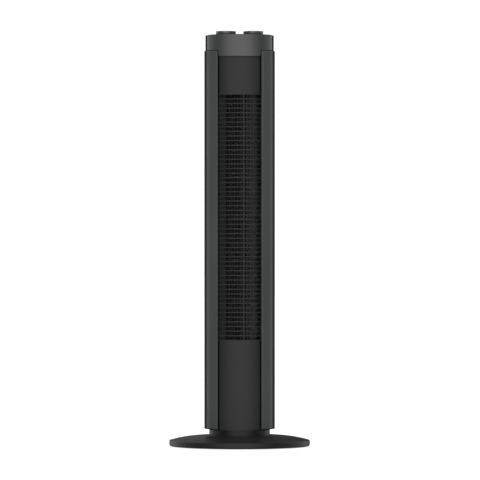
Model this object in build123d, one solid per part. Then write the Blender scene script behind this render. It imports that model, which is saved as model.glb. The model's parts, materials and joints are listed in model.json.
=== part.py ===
from build123d import *
import os
from math import cos, radians, sin, sqrt

os.makedirs("parts", exist_ok=True)

# Oscillating tower fan with two rotary controls, in millimetres.
# Origin: on the floor under the middle of the base, on the axis the tower swings about.
# +Z is up, the air outlet faces -Y, and +X is to the right of somebody facing the outlet.

GAP = 0.3                   # clearance between neighbouring mouldings
REACH = 90.0                # further out than the tower, for cutters
HIGH = 900.0                # above the tower, for cutters
WALL = 2.4                  # usual moulding thickness

# Base
BASE_R = 132.0
BASE_LOW = 1.5              # underside of the base above the floor
RIM_TOP = 12.5              # where the rim meets the dome
DOME_MID_R = 100.0
DOME_MID_Z = 19.5
DECK_Z = 22.0               # flat deck the neck stands on
NECK_R = 57.0
NECK_TOP = 32.5
RIM_WALL = 2.8
RIM_INNER_R = BASE_R - RIM_WALL
LIP_R = 123.6               # opening that takes the base plate
PLATE_TOP = 5.0
FOOT_R = 8.0
FOOT_DEPTH = 1.2            # pocket depth of a foot in the base plate
FOOT_RING_R = 96.0
FOOT_COUNT = 6
SCREW_RING_R = 112.0
BASE_SCREW_COUNT = 6
BASE_SCREW_TIP = 12.5
RIM_LOW_ROUND, RIM_HIGH_ROUND = 3.5, 1.8
RIB_COUNT = 12
RIB_START, RIB_END = 62.0, 130.0
RIB_LOW = 9.0               # ribs of the base cover end above the plate
PILOT_R = 1.6               # hole of a base or seat screw
HEAD_POCKET_R, HEAD_POCKET = 3.6, 1.6

# Swivel seat, spindle and swing drive
DISH_R = 46.4               # inside of the seat's dish
DISH_FLOOR = 19.5
DISH_LOW = 17.0
SEAT_WEB_LOW = 28.5
SEAT_WEB_TOP = 30.9
SEAT_SCREW_R = 51.7
SPINDLE_R = 7.5
SPINDLE_FIT = 0.06          # radial running clearance of spindle in its boss
BOSS_R = 11.5
BOSS_LOW = 14.0
BOSS_TOP = 31.0
CRANK_Y = 22.0              # swing motor's shaft behind the swing axis
SWING_ANGLE = 35.0          # each way
CRANK_THROW = CRANK_Y * sin(radians(SWING_ANGLE))
ARM_LOW = 29.6
ARM_TOP = 32.8
ROLLER_R = 3.0
TRACK_HALF = 5.6            # half width of the slot the crank's roller runs in
TRACK_WALL = 2.4
TRACK_TOP = 27.6
TRACK_START = 12.6
TRACK_END = 39.5

SWING_SHAFT_R = 2.5
CRANK_PIN_R = 1.8
CRANK_PIN_LOW = 21.0
SWING_MOTOR_R = 24.5
SWING_MOTOR_HEIGHT = 14.0
SWING_MOTOR_EAR_X = 30.0     # screws of the swing motor, each side
RING_OUTER, RING_INNER = 54.2, 48.4

# Tower outline: a front half ellipse and a rear half ellipse that meet on the widest line
WIDEST_Y = -10.0
TOWER_LOW = 33.5
FLOOR_PAD_TOP = 36.5
FLOOR_TOP = 39.5
COVER_TOP = 742.6
COVER_HALF, COVER_FRONT = 63.0, 46.0
CAP_SIDE_X = 60.9           # the cap is narrower than the side covers below it
CAP_BACK = 59.3
PANEL_HALF, PANEL_FRONT = 59.4, 42.0
SHELL_HALF, SHELL_BACK = 66.1, 64.0
UPPER_HALF, UPPER_BACK = 64.0, 62.0
SHELL_EDGE_Y = -14.0        # foremost edge of the rear shell's lip
LIP = 1.0                   # thickness of that lip beside the shadow gap
FLANGE_X = 54.0             # inner edge of the joint flange between front and rear
JOINT_Y = WIDEST_Y
END_ROUND = 2.9             # rounding of the tower's upper and lower corners
PAD_HALF, PAD_FRONT, PAD_BACK = 51.5, 35.6, 55.0
PLATE_HALF, PLATE_FRONT, PLATE_BACK = 53.7, 39.4, 61.0
FLOOR_SCREWS = ((-16.0, 45.9), (16.0, 45.9), (-16.0, -46.3), (16.0, -46.3))
FLOOR_SCREW_SEAT = 34.7

# Front panel and grille
INNER_EDGE_X = 40.8         # inner edge of each side cover
WINDOW_X = 40.4
CHANNEL_X = 37.4            # edge of the dark channel beside the blank parts of the panel
CHANNEL_DEPTH = 6.0
GRILLE_LOW = 201.5
SLAT_COUNT = 52
SLAT_PITCH = 8.665
SLAT = 1.7
SLAT_DEPTH = 8.0
GRILLE_HIGH = GRILLE_LOW + SLAT_COUNT * SLAT_PITCH + SLAT_PITCH - SLAT
APRON_LOW = 731.0
APRON_TOP_X = 40.4
APRON_LOW_X = 38.9
FRONT_SCREW_X = 57.3
FRONT_SCREW_ZS = (90.0, 290.0, 490.0, 690.0)
STIFFENER_X = 7.4           # upright rib that ties the slats together
STIFFENER = 1.6
HOOK_START, HOOK_STEP = 80, 110

# Rear shell intake and hand recess
SLOT_COUNT = 56
SLOT_PITCH = 8.0
SLOT_HIGH = 4.0
SLOT_X = 49.0
SLOT_START = 207.0
SLOT_RIB_X = 17.0
RECESS_X = 38.0
RECESS_LOW, RECESS_TOP = 692.0, 722.0
RECESS_Y = 36.0
INLET_Z = 66.0              # height of the mains cord's inlet
INLET_R = 3.6
GLAND_R = 7.0

# Air mover
WHEEL_X, WHEEL_Y = 6.4, 4.0  # the wheel's axis
WHEEL_R = 31.5
WHEEL_LOW, WHEEL_TOP = 195.0, 662.0
BLADE_COUNT = 30
BLADE_TURN = 3.0            # keeps the gaps in front and behind out of line
RING_COUNT = 7
RING = 1.6
SHAFT_R = 4.0
JOURNAL_R = 3.0
RUNNING_FIT = 0.05
DECK_LOW, DECK_TOP = 186.0, 189.0
UPPER_DECK_LOW, UPPER_DECK_TOP = 669.0, 672.0
STATOR_LOW, STATOR_TOP = 128.0, 160.0
STATOR_R = 35.8
ROTOR_R = 22.0
LUG = 29.5                  # the motor's lugs, each way from its axis
DECK_SCREW_X, DECK_SCREW_Y = 14.0, 44.0

MOTOR_SHAFT_LOW = 104.0
BELL_R, BELL_INNER_R = 35.4, 33.4
BELL_HEIGHT, BELL_ROOF = 16.0, 13.6
BUSH_R = 7.0
BUSH_START, BUSH_END = 10.0, 19.0   # bushes of the motor, away from the stack
COIL_OUTER, COIL_INNER, COIL_END = 32.0, 24.0, 8.0
LUG_LOW, LUG_TOP = 140.0, 146.0
GROMMET_R, GROMMET_WAIST_R = 5.4, 3.6
GROMMET_LOW, GROMMET_TOP = 136.5, 149.8
BOLT_R = 2.0
SUPPORT_R = 11.0            # outside of the upper bearing's rubber ring
BUSH_OUTER_R = 6.0
GUIDE_WALL = 1.6
SCROLL_PATH = ((24.0, 36.0), (36.5, 24.0), (43.0, 8.0), (43.6, -10.0), (40.6, -26.0))
TONGUE_PATH = ((-41.4, -27.2), (-32.5, -19.8), (-23.8, -13.0), (-25.6, -8.6), (-28.4, -3.0))

# Controls
CAP_TOP = 772.0
CAP_DECK = 769.6            # underside of the cap's top
KNOB_X = 25.6
KNOB_Y = -6.0
KNOB_R = 18.75
KNOB_LOW, KNOB_TOP = 772.4, 780.0
KNOB_SPINDLE_R = 3.0
BUTTON_Y = 26.0
BUTTON_R = 6.0
BUTTON_TOP = 774.6
BUTTON_LOW = 764.0
MARK_WIDTH, MARK_DEPTH = 1.6, 0.6
MARK_START, MARK_END = 5.0, 16.5
SPEED_SWITCH_LOW, TIMER_LOW = 752.0, 748.0
SPEED_SWITCH_HALF, TIMER_R = 12.0, 17.0
SPINDLE_LOW = 756.4         # lower end of a knob's spindle
SWING_SWITCH_LOW, SWING_SWITCH_TOP = 745.0, 755.0
TAB_LOW = 740.0             # tips of the switches' terminals


def block(x0, x1, y0, y1, z0, z1):
    """A box given by its limits."""
    middle = Pos((x0 + x1) / 2, (y0 + y1) / 2, (z0 + z1) / 2)
    return middle * Box(x1 - x0, y1 - y0, z1 - z0)


def rod(radius, x, y, z0, z1):
    """An upright cylinder."""
    return Pos(x, y, (z0 + z1) / 2) * Cylinder(radius, z1 - z0)


def rod_y(radius, x, z, y0, y1):
    """A cylinder lying along Y."""
    return Pos(x, (y0 + y1) / 2, z) * Rot(90, 0, 0) * Cylinder(radius, y1 - y0)


def tube(outer, inner, x, y, z0, z1):
    """An upright tube."""
    return rod(outer, x, y, z0, z1) - rod(inner, x, y, z0 - 1, z1 + 1)


def oval(half, front, back, z0, z1):
    """A prism with the tower's kind of outline: two half ellipses."""
    middle = (0, WIDEST_Y)
    fore = EllipticalCenterArc(middle, half, front, 180, arc_size=180)
    aft = EllipticalCenterArc(middle, half, back, 0, arc_size=180)
    return Pos(0, 0, z0) * extrude(make_face([fore, aft]), z1 - z0)


def ring_points(count, radius, offset=0.0):
    """Points evenly spaced on a circle about the swing axis."""
    angles = [radians(offset + 360.0 * i / count) for i in range(count)]
    return [(radius * cos(a), radius * sin(a)) for a in angles]


def group(solids):
    """Separate identical solids kept in one file."""
    return Compound(children=list(solids))


def mirrored(shape):
    """The same piece on the other side of the tower."""
    return mirror(shape, about=Plane.YZ)


def screw_down(x, y, seat_z, tip_z, head_r, head_h, shank_r):
    """An upright screw whose head sits on top of seat_z."""
    head = rod(head_r, x, y, seat_z, seat_z + head_h)
    drive = rod(shank_r * 0.8, x, y, seat_z + head_h * 0.4, seat_z + head_h + 1)
    return head - drive + rod(shank_r, x, y, tip_z, seat_z)


def screw_up(x, y, seat_z, tip_z, head_r, head_h, shank_r):
    """An upright screw driven from below, with its head under seat_z."""
    head = rod(head_r, x, y, seat_z - head_h, seat_z)
    drive = rod(shank_r * 0.8, x, y, seat_z - head_h - 1, seat_z - head_h * 0.4)
    return head - drive + rod(shank_r, x, y, seat_z, tip_z)


# ---------------------------------------------------------------- base

def dome_line(drop):
    """The dome's profile, lowered by drop."""
    points = [(NECK_R, DECK_Z - drop), (DOME_MID_R, DOME_MID_Z - drop), (BASE_R, RIM_TOP - drop)]
    return Spline(points, tangents=[(1, 0), (1, -0.30)])


def base_cavity():
    """The hollow inside the base cover."""
    dome = dome_line(RIM_WALL)
    start = dome @ 0
    end = dome @ 1
    corners = [(end.X, end.Y), (end.X, -1), (0, -1), (0, start.Y), (start.X, start.Y)]
    face = make_face([dome, Polyline(*corners)])
    hollow = revolve(Plane.XZ * face, Axis.Z)
    return hollow & rod(RIM_INNER_R, 0, 0, -1, 40)


def make_base_cover():
    """Domed round cover with ribs and screw bosses underneath."""
    dome = dome_line(0)
    corners = [(BASE_R, RIM_TOP), (BASE_R, BASE_LOW), (0, BASE_LOW), (0, DECK_Z), (NECK_R, DECK_Z)]
    outer = revolve(Plane.XZ * make_face([dome, Polyline(*corners)]), Axis.Z)
    rims = [e for e in outer.edges().filter_by(GeomType.CIRCLE) if e.radius > BASE_R - 0.1]
    low_rim, high_rim = sorted(rims, key=lambda e: e.center().Z)
    outer = fillet(low_rim, RIM_LOW_ROUND)
    high_rim = [e for e in outer.edges().filter_by(GeomType.CIRCLE) if abs(e.center().Z - RIM_TOP) < 0.1]
    outer = fillet(high_rim, RIM_HIGH_ROUND)
    cavity = base_cavity()
    open_part = cavity - tube(BASE_R + 1, LIP_R, 0, 0, -1, PLATE_TOP)
    cover = outer - open_part - rod(DISH_R + TRACK_WALL + GAP, 0, 0, 0, 40)
    inside = cavity & tube(BASE_R, DISH_R + 8.0, 0, 0, PLATE_TOP + GAP, 40)
    for i in range(RIB_COUNT):
        turn = Rot(0, 0, (i + 0.5) * 360.0 / RIB_COUNT)
        rib = turn * block(RIB_START, RIB_END, -1.0, 1.0, RIB_LOW, 40)
        cover += rib & inside
    for x, y in ring_points(BASE_SCREW_COUNT, SCREW_RING_R):
        cover += rod(4.0, x, y, PLATE_TOP, 40) & cavity
    for x, y in ring_points(BASE_SCREW_COUNT, SCREW_RING_R):
        cover -= rod(PILOT_R, x, y, 0, BASE_SCREW_TIP + 0.5)
    for x, y in ring_points(4, SEAT_SCREW_R, 45):
        cover -= rod(2.0, x, y, 10, 40)
    return cover


def make_base_plate():
    """Flat underside with pockets for the feet and counterbores for the screws."""
    plate = rod(LIP_R - GAP, 0, 0, BASE_LOW, PLATE_TOP)
    plate = chamfer(plate.edges().group_by(Axis.Z)[0], 0.6)
    for x, y in ring_points(FOOT_COUNT, FOOT_RING_R):
        plate += rod(FOOT_R + 2.0, x, y, PLATE_TOP - 1, PLATE_TOP + 0.8)
        plate -= rod(FOOT_R, x, y, 0, BASE_LOW + FOOT_DEPTH)
    for x, y in ring_points(BASE_SCREW_COUNT, SCREW_RING_R):
        plate -= rod(HEAD_POCKET_R, x, y, 0, BASE_LOW + HEAD_POCKET) + rod(PILOT_R, x, y, 0, 10)
    for x, y in ring_points(3, 70.0, 90):
        plate -= rod(1.5, x, y, 0, 10)
    return plate


def make_base_feet():
    """Rubber feet the base stands on."""
    feet = []
    for x, y in ring_points(FOOT_COUNT, FOOT_RING_R):
        foot = rod(FOOT_R, x, y, 0, BASE_LOW + FOOT_DEPTH)
        feet.append(chamfer(foot.edges().group_by(Axis.Z)[0], 0.6))
    return group(feet)


def make_base_screws():
    """Screws that hold the base plate to the cover."""
    seat = BASE_LOW + HEAD_POCKET
    places = ring_points(BASE_SCREW_COUNT, SCREW_RING_R)
    return group([screw_up(x, y, seat, BASE_SCREW_TIP, 3.2, 1.4, PILOT_R) for x, y in places])


def make_swivel_seat():
    """Neck fixed on the base: bearing boss, dish and the slotted track of the swing drive."""
    top = NECK_TOP
    profile = [(NECK_R - WALL, DECK_Z), (NECK_R, DECK_Z), (NECK_R, top), (NECK_R - WALL, top),
               (NECK_R - WALL, SEAT_WEB_TOP), (DISH_R, SEAT_WEB_TOP), (DISH_R, DISH_FLOOR),
               (BOSS_R, DISH_FLOOR), (BOSS_R, BOSS_TOP), (SPINDLE_R + SPINDLE_FIT, BOSS_TOP),
               (SPINDLE_R + SPINDLE_FIT, BOSS_LOW), (BOSS_R, BOSS_LOW), (BOSS_R, DISH_LOW),
               (DISH_R + WALL, DISH_LOW), (DISH_R + WALL, SEAT_WEB_LOW), (NECK_R - WALL, SEAT_WEB_LOW)]
    face = make_face(Polyline(*profile, close=True))
    seat = revolve(Plane.XZ * face, Axis.Z)
    rims = [e for e in seat.edges().filter_by(GeomType.CIRCLE) if e.radius > NECK_R - 0.1]
    seat = fillet(sorted(rims, key=lambda e: e.center().Z)[-1], 0.8)
    for x, y in ring_points(4, SEAT_SCREW_R, 45):
        seat += rod(2.8, x, y, DECK_Z, SEAT_WEB_LOW)
        seat -= rod(1.6, x, y, 10, 30)
    rails = block(-TRACK_HALF - TRACK_WALL, TRACK_HALF + TRACK_WALL, TRACK_START - 3, TRACK_END + TRACK_WALL,
                  DISH_FLOOR, TRACK_TOP)
    slot = block(-TRACK_HALF, TRACK_HALF, 0, TRACK_END, DISH_FLOOR, 40)
    clear_of_boss = rod(BOSS_R, 0, 0, 0, 40)
    return seat + (rails - slot - clear_of_boss)


def make_seat_screws():
    """Screws from inside the base that hold the neck."""
    seat = DECK_Z - RIM_WALL
    return group([screw_up(x, y, seat, 28, 2.6, 2.0, 1.6) for x, y in ring_points(4, SEAT_SCREW_R, 45)])


def make_slide_ring():
    """Low-friction ring the tower turns on."""
    return tube(RING_OUTER, RING_INNER, 0, 0, SEAT_WEB_TOP, TOWER_LOW - 0.1)


# ---------------------------------------------------------------- swing drive

def make_tower_floor():
    """Bottom plate of the tower with the spindle it turns on."""
    plate = oval(PLATE_HALF, PLATE_FRONT, PLATE_BACK, FLOOR_PAD_TOP, FLOOR_TOP)
    plate += oval(PAD_HALF, PAD_FRONT, PAD_BACK, TOWER_LOW, FLOOR_PAD_TOP)
    plate += rod(SPINDLE_R, 0, 0, BOSS_LOW - 0.4, TOWER_LOW)
    plate -= rod(2.1, 0, 0, BOSS_LOW - 2, 29)
    plate -= rod(6.6, 0, CRANK_Y, TOWER_LOW - 1, FLOOR_TOP + 1)
    for x in (-SWING_MOTOR_EAR_X, SWING_MOTOR_EAR_X):
        plate -= rod(1.4, x, CRANK_Y, TOWER_LOW + 1, FLOOR_TOP + 1)
    for x, y in FLOOR_SCREWS:
        plate -= rod(1.2, x, y, TOWER_LOW - 1, FLOOR_TOP - 0.6)
    return plate


def make_spindle_washer():
    """Thrust washer under the bearing boss."""
    return tube(11.8, 2.1, 0, 0, BOSS_LOW - 2.2, BOSS_LOW - 0.4)


def make_spindle_screw():
    """Screw that keeps the tower on the base."""
    return screw_up(0, 0, BOSS_LOW - 2.2, 28, 4.8, 3.2, 2.1)


def make_swing_motor():
    """Flat synchronous gear motor on the tower's floor."""
    body = rod(SWING_MOTOR_R, 0, CRANK_Y, FLOOR_TOP, FLOOR_TOP + SWING_MOTOR_HEIGHT)
    body = fillet(body.edges().group_by(Axis.Z)[-1], 1.0)
    body += block(-34, 34, CRANK_Y - 4, CRANK_Y + 4, FLOOR_TOP, FLOOR_TOP + 1.2)
    body -= rod(SWING_SHAFT_R + RUNNING_FIT, 0, CRANK_Y, FLOOR_TOP - 1, FLOOR_TOP + 10)
    for x in (-SWING_MOTOR_EAR_X, SWING_MOTOR_EAR_X):
        body -= rod(1.6, x, CRANK_Y, FLOOR_TOP - 1, FLOOR_TOP + 3)
    return body


def make_swing_motor_screws():
    """Screws of the swing motor."""
    seat = FLOOR_TOP + 1.2
    places = (-SWING_MOTOR_EAR_X, SWING_MOTOR_EAR_X)
    return group([screw_down(x, CRANK_Y, seat, TOWER_LOW + 1.5, 2.7, 1.8, 1.4) for x in places])


def make_swing_crank():
    """Arm on the swing motor's shaft."""
    pin_y = CRANK_Y + CRANK_THROW
    arm = rod(6.0, 0, CRANK_Y, ARM_LOW, FLOOR_TOP - GAP)
    arm += block(-4.0, 4.0, CRANK_Y, pin_y, ARM_LOW, ARM_TOP)
    arm += rod(4.0, 0, pin_y, ARM_LOW, ARM_TOP)
    arm += rod(CRANK_PIN_R, 0, pin_y, CRANK_PIN_LOW, ARM_LOW)
    return arm - rod(SWING_SHAFT_R, 0, CRANK_Y, ARM_LOW + 1.2, FLOOR_TOP)


def make_swing_shaft():
    """Output shaft of the swing motor."""
    return rod(SWING_SHAFT_R, 0, CRANK_Y, ARM_LOW + 1.2, FLOOR_TOP + 8)


def make_crank_roller():
    """Roller on the crank's pin."""
    pin_y = CRANK_Y + CRANK_THROW
    return tube(ROLLER_R, CRANK_PIN_R, 0, pin_y, CRANK_PIN_LOW, ARM_LOW - 0.4)


# ---------------------------------------------------------------- tower housing

def front_region(half, front, z0, z1):
    """The part of an oval prism in front of the joint."""
    return oval(half, front, front, z0, z1) & block(-REACH, REACH, -REACH, JOINT_Y - GAP, z0 - 1, z1 + 1)


def make_right_cover():
    """Curved cover of the right side pillar."""
    body = oval(COVER_HALF, COVER_FRONT, COVER_FRONT, TOWER_LOW, COVER_TOP)
    body &= block(INNER_EDGE_X, REACH, -REACH, JOINT_Y - GAP, 0, HIGH)
    ends = body.edges().group_by(Axis.Z)
    outline = [e for e in ends[0] + ends[-1] if e.geom_type == GeomType.ELLIPSE]
    body = fillet(outline, END_ROUND)
    uprights = [e for e in body.edges() if e.length > COVER_TOP - TOWER_LOW - 2 * END_ROUND - 1]
    front_corner = [e for e in uprights if e.center().Y < -30]
    body = fillet(front_corner, 1.2)
    hollow = oval(COVER_HALF - WALL, COVER_FRONT - WALL, COVER_FRONT, FLOOR_PAD_TOP, COVER_TOP - WALL)
    hollow &= block(INNER_EDGE_X + WALL, REACH, -REACH, 0, 0, HIGH)
    behind = oval(PANEL_HALF + 0.2, PANEL_FRONT + 0.2, COVER_FRONT, 0, HIGH)
    cover = body - hollow - behind
    for z in range(HOOK_START, round(COVER_TOP), HOOK_STEP):
        cover += snap_hook(z)
    return cover


def snap_hook(z):
    """One of the hooks that hold a side cover on the front panel."""
    strut = block(47, 54, -60, -20, z - 1.0, z + 1.0)
    outer = oval(COVER_HALF - 0.5, COVER_FRONT - 0.5, 20, z - 2, z + 2)
    inner = oval(PANEL_HALF + 0.2, PANEL_FRONT + 0.2, 20, z - 2, z + 2)
    return strut & (outer - inner)


def make_slats():
    """The grille's slats and the upright rib that ties them together."""
    inner = oval(PANEL_HALF - SLAT_DEPTH, PANEL_FRONT - SLAT_DEPTH, 30, -1, HIGH)
    plan = oval(PANEL_HALF, PANEL_FRONT, 30, 0, SLAT) - inner
    plan &= block(-WINDOW_X - 0.4, WINDOW_X + 0.4, -REACH, -20, -1, 5)
    slats = [Pos(0, 0, GRILLE_LOW + (i + 1) * SLAT_PITCH - SLAT) * plan for i in range(SLAT_COUNT)]
    rib = oval(PANEL_HALF - 1.5, PANEL_FRONT - 1.5, 30, GRILLE_LOW - 1, GRILLE_HIGH + 1) - inner
    rib &= block(STIFFENER_X - STIFFENER / 2, STIFFENER_X + STIFFENER / 2, -REACH, -20, 0, HIGH)
    return slats + [rib]


def make_channel(side):
    """Cutter and lining of the dark channel between the panel and one side cover."""
    depth = CHANNEL_DEPTH
    floor = oval(PANEL_HALF - depth, PANEL_FRONT - depth, 30, 0, HIGH)
    x0, x1 = sorted((side * CHANNEL_X, side * (INNER_EDGE_X - 0.2)))
    cutter = block(x0, x1, -REACH, -20, 0, HIGH) - floor
    back = oval(PANEL_HALF - depth - WALL, PANEL_FRONT - depth - WALL, 30, 0, HIGH)
    front = oval(PANEL_HALF - 0.2, PANEL_FRONT - 0.2, 30, TOWER_LOW + 0.2, COVER_TOP - WALL - 2 * GAP)
    lining = (front - back) & block(x0 - WALL, x1 + WALL, -REACH, -20, 0, HIGH)
    return cutter, lining


def make_front_panel():
    """Recessed front with the outlet grille and hidden wings under the side covers."""
    skin = front_region(PANEL_HALF, PANEL_FRONT, FLOOR_PAD_TOP, COVER_TOP - WALL - GAP)
    skin -= oval(PANEL_HALF - WALL, PANEL_FRONT - WALL, 30, 0, HIGH)
    low_edge = front_region(PANEL_HALF, PANEL_FRONT, TOWER_LOW, FLOOR_PAD_TOP)
    low_edge -= oval(PAD_HALF + GAP, PAD_FRONT + GAP, 30, 0, HIGH)
    panel = skin + low_edge
    plate = oval(PLATE_HALF + 0.1, PLATE_FRONT + 0.1, 30, 0, FLOOR_TOP)
    for side in (-1, 1):
        cutter, lining = make_channel(side)
        panel += lining - plate
        panel -= cutter
    inner = oval(PANEL_HALF - SLAT_DEPTH, PANEL_FRONT - SLAT_DEPTH, 30, 0, HIGH)
    frame = oval(PANEL_HALF - 0.4, PANEL_FRONT - 0.4, 30, GRILLE_LOW - WALL, GRILLE_HIGH + WALL) - inner
    panel += frame & block(-WINDOW_X - WALL, WINDOW_X + WALL, -REACH, -20, 0, HIGH)
    panel -= block(-WINDOW_X, WINDOW_X, -REACH, -15, GRILLE_LOW, GRILLE_HIGH)
    panel = panel.fuse(*make_slats())
    ear = block(FLANGE_X, 60.5, JOINT_Y - WALL, JOINT_Y, FLOOR_PAD_TOP + GAP, COVER_TOP - WALL - GAP)
    panel += ear + mirrored(ear)
    for side in (-1, 1):
        for z in FRONT_SCREW_ZS:
            panel -= rod_y(1.5, side * FRONT_SCREW_X, z, -20, 0)
            panel -= rod_y(3.0, side * FRONT_SCREW_X, z, -26, JOINT_Y - WALL)
    for z in (DECK_LOW, UPPER_DECK_LOW):
        ledge = front_region(PANEL_HALF - 1, PANEL_FRONT - 1, z - 3, z)
        panel += ledge & block(-14, 14, -REACH, -45, 0, HIGH)
    for x, y in FLOOR_SCREWS[2:]:
        panel -= rod(1.3, x, y, TOWER_LOW - 1, FLOOR_PAD_TOP) + rod(2.2, x, y, TOWER_LOW - 1, FLOOR_SCREW_SEAT)
    return panel


def make_front_screws():
    """Screws under the side covers that join the front panel to the rear shell."""
    screws = []
    seat = JOINT_Y - WALL
    for side in (-1, 1):
        for z in FRONT_SCREW_ZS:
            head = rod_y(2.6, side * FRONT_SCREW_X, z, seat - 1.8, seat)
            drive = rod_y(1.2, side * FRONT_SCREW_X, z, seat - 3, seat - 0.9)
            screws.append(head - drive + rod_y(1.5, side * FRONT_SCREW_X, z, seat, -3.4))
    return group(screws)


def d_prism(half, back, edge_y, z0, z1):
    """A prism with a half-elliptical rear and straight sides that run forward to edge_y."""
    rear = EllipticalCenterArc((0, WIDEST_Y), half, back, 0, arc_size=180)
    sides = Polyline((-half, WIDEST_Y), (-half, edge_y), (half, edge_y), (half, WIDEST_Y))
    return Pos(0, 0, z0) * extrude(make_face([rear, sides]), z1 - z0)


def round_ends(body, radius):
    """Rounds the outline at the top and bottom of a prism, apart from its front edge."""
    levels = body.edges().group_by(Axis.Z)
    outline = [e for e in levels[0] + levels[-1] if e.center().Y > SHELL_EDGE_Y + 0.5]
    return fillet(outline, radius)


def shell_body():
    """The rear shell's walls without its openings."""
    outer = round_ends(d_prism(SHELL_HALF, SHELL_BACK, SHELL_EDGE_Y, TOWER_LOW, COVER_TOP), END_ROUND)
    upper = d_prism(UPPER_HALF, UPPER_BACK, SHELL_EDGE_Y, COVER_TOP - 10, CAP_TOP - 0.6)
    tops = [e for e in upper.edges().group_by(Axis.Z)[-1] if e.center().Y > SHELL_EDGE_Y + 0.5]
    upper = fillet(tops, 1.0)
    hollow = d_prism(SHELL_HALF - WALL, SHELL_BACK - WALL, SHELL_EDGE_Y - 9, FLOOR_PAD_TOP, COVER_TOP - WALL)
    hollow += d_prism(UPPER_HALF - WALL, UPPER_BACK - WALL, SHELL_EDGE_Y - 9, COVER_TOP - 5, CAP_TOP + 9)
    hollow += oval(PAD_HALF + GAP, PAD_FRONT + GAP, PAD_BACK + GAP, 0, FLOOR_PAD_TOP + 1)
    return outer, upper, hollow


def side_rebate(half, z0, z1):
    """What is cut away in front of the joint to leave a thin lip beside a shadow gap."""
    return block(-half + LIP, half - LIP, -REACH, JOINT_Y, z0, z1)


def make_rear_shell():
    """Rear half of the housing: intake slots, hand recess and cord inlet."""
    outer, upper, hollow = shell_body()
    shell = outer + upper - hollow
    shell -= side_rebate(SHELL_HALF, 0, COVER_TOP)
    shell -= side_rebate(UPPER_HALF, COVER_TOP, HIGH)
    flange = block(FLANGE_X, SHELL_HALF - 1.2, JOINT_Y, JOINT_Y + WALL, FLOOR_PAD_TOP - 1, COVER_TOP - 1)
    for z in FRONT_SCREW_ZS:
        flange += rod_y(3.0, FRONT_SCREW_X, z, JOINT_Y, -3.0)
        flange -= rod_y(1.5, FRONT_SCREW_X, z, JOINT_Y - 5, -3.4)
    shell += flange + mirrored(flange)
    for side in (-1, 1):
        for z in (DECK_LOW, UPPER_DECK_LOW):
            x = side * DECK_SCREW_X
            boss = rod(4.2, x, DECK_SCREW_Y, z - 9, z)
            boss += block(x - 1.2, x + 1.2, DECK_SCREW_Y, 60, z - 9, z)
            shell += boss & d_prism(SHELL_HALF - 1, SHELL_BACK - 1, 0, 0, HIGH)
            shell -= rod(1.5, x, DECK_SCREW_Y, z - 8, z + 1)
    half = RECESS_X + WALL
    liner = block(-half, half, RECESS_Y - WALL, REACH, RECESS_LOW - WALL, RECESS_TOP + WALL)
    shell += liner & d_prism(SHELL_HALF - 1, SHELL_BACK - 1, 0, 0, HIGH)
    pocket = block(-RECESS_X, RECESS_X, RECESS_Y, REACH, RECESS_LOW, RECESS_TOP)
    shell -= fillet(pocket.edges().filter_by(Axis.Y), 6.0)
    shell -= rod_y(GLAND_R, 0, INLET_Z, 40, 60)
    for x, y in FLOOR_SCREWS[:2]:
        shell -= rod(1.3, x, y, 0, 40) + rod(2.2, x, y, 0, FLOOR_SCREW_SEAT)
    return shell.cut(*intake_slots())


def intake_slots():
    """Cutters of the intake slots, in three columns with ribs between."""
    columns = ((-SLOT_X, -SLOT_RIB_X - 2), (-SLOT_RIB_X + 2, SLOT_RIB_X - 2), (SLOT_RIB_X + 2, SLOT_X))
    cutters = []
    for i in range(SLOT_COUNT):
        z = SLOT_START + i * SLOT_PITCH
        for x0, x1 in columns:
            cutters.append(block(x0, x1, 16, 70, z, z + SLOT_HIGH))
    return cutters


def make_floor_screws():
    """Screws from below that hold the tower's floor."""
    head = FLOOR_SCREW_SEAT - TOWER_LOW
    return group([screw_up(x, y, FLOOR_SCREW_SEAT, FLOOR_TOP - 0.8, 2.1, head, 1.2) for x, y in FLOOR_SCREWS])


def cap_prism(inset, z0, z1):
    """The cap's outline: in front flush with the side covers, but cut off square at its sides."""
    side = CAP_SIDE_X - inset
    fore = oval(COVER_HALF - inset, COVER_FRONT - inset, 30, z0, z1)
    fore &= block(-side, side, -REACH, WIDEST_Y, z0 - 1, z1 + 1)
    aft = oval(side, 30, CAP_BACK - inset, z0, z1) & block(-REACH, REACH, WIDEST_Y, REACH, z0 - 1, z1 + 1)
    return fore + aft


def make_top_cap():
    """Cap with the control deck and an apron over the top of the front panel."""
    body = cap_prism(0, COVER_TOP + 0.2, CAP_TOP)
    body = fillet(body.edges().group_by(Axis.Z)[-1], 1.2)
    body -= cap_prism(WALL, 0, CAP_DECK)
    body -= block(-REACH, REACH, JOINT_Y - GAP, REACH, 0, CAP_TOP - 10)
    apron = front_region(COVER_HALF, COVER_FRONT, APRON_LOW, COVER_TOP + 1)
    apron -= oval(COVER_HALF - WALL, COVER_FRONT - WALL, 30, 0, HIGH)
    outline = Polyline((-APRON_LOW_X, APRON_LOW), (APRON_LOW_X, APRON_LOW), (APRON_TOP_X, COVER_TOP + 1),
                       (-APRON_TOP_X, COVER_TOP + 1), close=True)
    trim = extrude(Plane.XZ * make_face(outline), REACH)
    body += apron & trim
    for x in (-KNOB_X, KNOB_X):
        body -= rod(4.6, x, KNOB_Y, CAP_DECK - 1, CAP_TOP + 1)
    body -= rod(BUTTON_R + 0.35, 0, BUTTON_Y, CAP_DECK - 1, CAP_TOP + 1)
    return body


# ---------------------------------------------------------------- air path

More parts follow.
